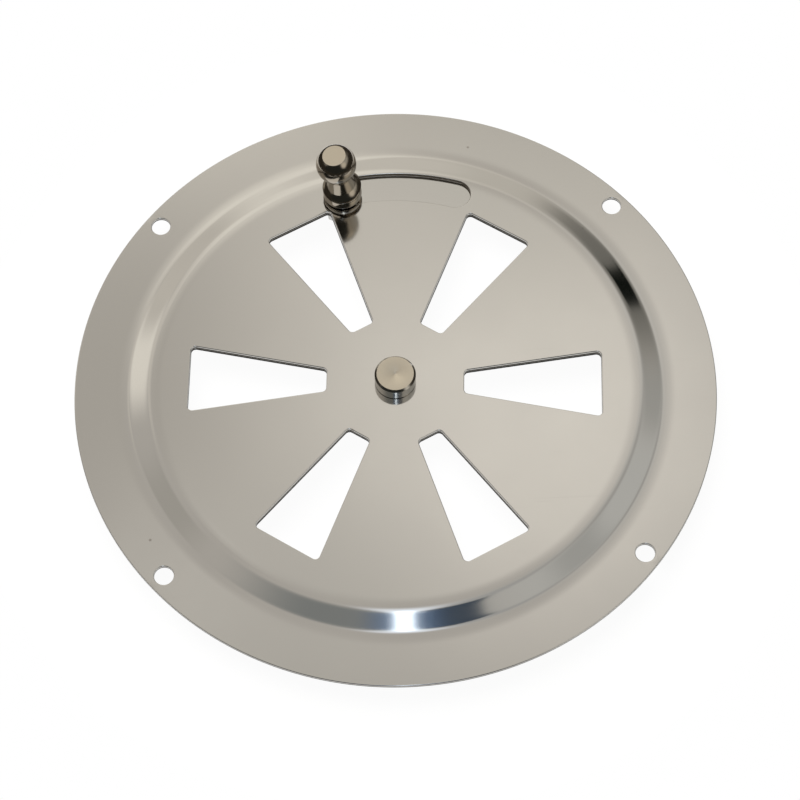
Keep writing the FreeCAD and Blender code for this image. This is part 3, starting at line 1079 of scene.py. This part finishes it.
# cards stand where the flat face shows them: bearing round the middle of what it mirrors,
# reach from that middle, half sizes across and along the bearing (degrees), softness, squareness, colour
roomCards = {
    "backWall": (88, 38, 22, 30, 0.5, 2, (0.78, 0.75, 0.685)),
    "upperLeft": (113, 29, 11, 26, 0.45, 2, (1.03, 0.995, 0.915)),
    "topShade": (64, 9, 4.5, 6.5, 0.8, 2, (0.60, 0.575, 0.53)),
    "backShade": (70, 45, 6, 18, 0.8, 2, (0.69, 0.665, 0.605)),
    "leftCorner": (134, 46, 12, 16, 0.6, 2, (0.72, 0.69, 0.63)),
    "leftWindow": (160, 46, 7.5, 19, 0.6, 2, (1.02, 0.985, 0.91)),
    "leftLow": (200, 45, 8, 10, 0.7, 2, (0.49, 0.475, 0.44)),
    "leftHalo": (158, 21, 9, 6, 0.7, 2, (0.78, 0.75, 0.69)),
    "leftMiddle": (172, 6, 4.5, 4, 0.8, 2, (0.55, 0.53, 0.49)),
    "rightHalo": (0, 20, 18, 11, 0.6, 2, (0.72, 0.705, 0.67)),
    "glow": (-10, 3, 4.1, 4.6, 1, 2, (1.05, 1.015, 0.95)),
    "lowerLeft": (220, 6.5, 2, 2, 0.9, 2, (0.76, 0.74, 0.695)),
    "lowShade": (247, 5.2, 2.4, 2.4, 0.9, 2, (0.64, 0.625, 0.585)),
    "upperShade": (62, 5.6, 2.2, 2.3, 0.9, 2, (0.73, 0.71, 0.655)),
    "rightWall": (-35, 45, 26, 26, 0.6, 2, (0.62, 0.625, 0.605)),
    "rightShade": (317, 46, 6, 12, 0.7, 2, (0.48, 0.485, 0.47)),
    "lowerRight": (330, 26, 20, 7, 0.8, 2, (0.48, 0.475, 0.455)),
    "rightDoor": (5, 47, 6, 14, 0.8, 2, (0.46, 0.46, 0.44)),
    "doorShade": (35.5, 45, 12.8, 18, 0.75, 2, (0.22, 0.215, 0.195)),
    "darkDoor": (35.9, 48.5, 4.0, 6.5, 0.1, 4, (0.0, 0.002, 0.001)),
    "duskLeft": (252, 51, 15.5, 17, 0.75, 2, (0.27, 0.285, 0.285)),
    "frontShade": (286, 32, 8, 8, 0.8, 2, (0.48, 0.485, 0.48)),
    "duskRight": (281.5, 46, 5.8, 8, 0.12, 4, (0.055, 0.078, 0.112)),
    "blueGlow": (269.5, 51, 6, 10, 0.6, 2, (0.09, 0.16, 0.3)),
    "flashTail": (269.5, 31, 3.6, 9.5, 0.8, 2, (1.25, 1.35, 1.5)),
    "flash": (269.4, 47, 1.6, 13, 0.4, 2, (3.1, 3.6, 4.2)),
    "darkFront": (268, 89, 62, 27, 0.2, 3, (0.03, 0.032, 0.03)),
    "sidePanel": (-45, 74, 15, 15, 0.5, 2, (1.0, 0.955, 0.88)),
}


def cardAxes(bearing, reach):
    # the flat face sends the camera's line of sight up and back
    ahead = aim(90 + view["azimuth"], view["elevation"])
    right = Vector((1, 0, 0))
    right = (right - ahead * right.dot(ahead)).normalized()
    turn = math.radians(bearing)
    outward = right * math.cos(turn) + ahead.cross(right) * math.sin(turn)
    lean = math.radians(reach)
    centre = ahead * math.cos(lean) + outward * math.sin(lean)
    along = outward * math.cos(lean) - ahead * math.sin(lean)
    return {"Aim": centre, "Side": centre.cross(along), "Up": along}


def makeRoom():
    world = bpy.data.worlds.new("softRoom")
    bpy.context.scene.world = world
    world.use_nodes = True
    tree = world.node_tree
    tree.nodes.clear()
    look = add(tree, "ShaderNodeTexCoord").outputs["Generated"]
    rise = remap(tree, parts(tree, look)["Z"], room["lowEnd"], room["wallStart"])
    colour = mixColour(tree, rise, room["low"], room["wall"])
    group = makeCardGroup()
    for bearing, reach, across, along, soft, square, shade in roomCards.values():
        colour = useGroup(tree, group, {
            "Behind": colour, "Look": look, **cardAxes(bearing, reach),
            "Softness": soft, "Squareness": square,
            "Half Width": math.tan(math.radians(across)), "Half Height": math.tan(math.radians(along)),
            "Colour": (*shade, 1),
        })["Colour"]
    # the camera sees plain white
    seen = add(tree, "ShaderNodeLightPath").outputs["Is Camera Ray"]
    shown = mixColour(tree, seen, colour, white)
    back = add(tree, "ShaderNodeBackground", {"Color": shown, "Strength": room["strength"]})
    tree.links.new(back.outputs[0], add(tree, "ShaderNodeOutputWorld").inputs["Surface"])


# a wide lamp overhead lights the floor, and the steel doesn't mirror it
topLamp = {"place": (-0.25, 0.35, 1.1), "size": 0.9, "power": 14.0, "colour": (1.0, 0.98, 0.95)}


def makeLamp():
    light = bpy.data.lights.new("topLamp", "AREA")
    light.size = topLamp["size"]
    light.energy = topLamp["power"]
    light.color = topLamp["colour"]
    thing = newObject("topLamp", light)
    thing.location = topLamp["place"]
    thing.rotation_euler = (-thing.location).to_track_quat("-Z", "Y").to_euler()
    thing.visible_glossy = False


def makeCamera():
    camera = bpy.data.cameras.new("camera")
    camera.lens = view["lens"]
    camera.sensor_width = view["sensor"]
    camera.clip_start, camera.clip_end = view["clip"]
    thing = newObject("camera", camera)
    back = aim(view["azimuth"] - 90, view["elevation"])
    right = (-back).cross(Vector((0, 0, 1))).normalized()
    down = (-back).cross(right)
    roll = math.radians(view["roll"])
    across = right * math.cos(roll) + down * math.sin(roll)
    low = down * math.cos(roll) - right * math.sin(roll)
    turn = Matrix((across, -low, back)).transposed().to_4x4()
    eye = (Vector(view["target"]) + back * view["distance"]) * mm
    thing.matrix_world = Matrix.Translation(eye) @ turn
    bpy.context.scene.camera = thing


makeFloor()
makeRoom()
makeLamp()
makeCamera()
bpy.context.scene.view_settings.view_transform = "Standard"
print("studio made")
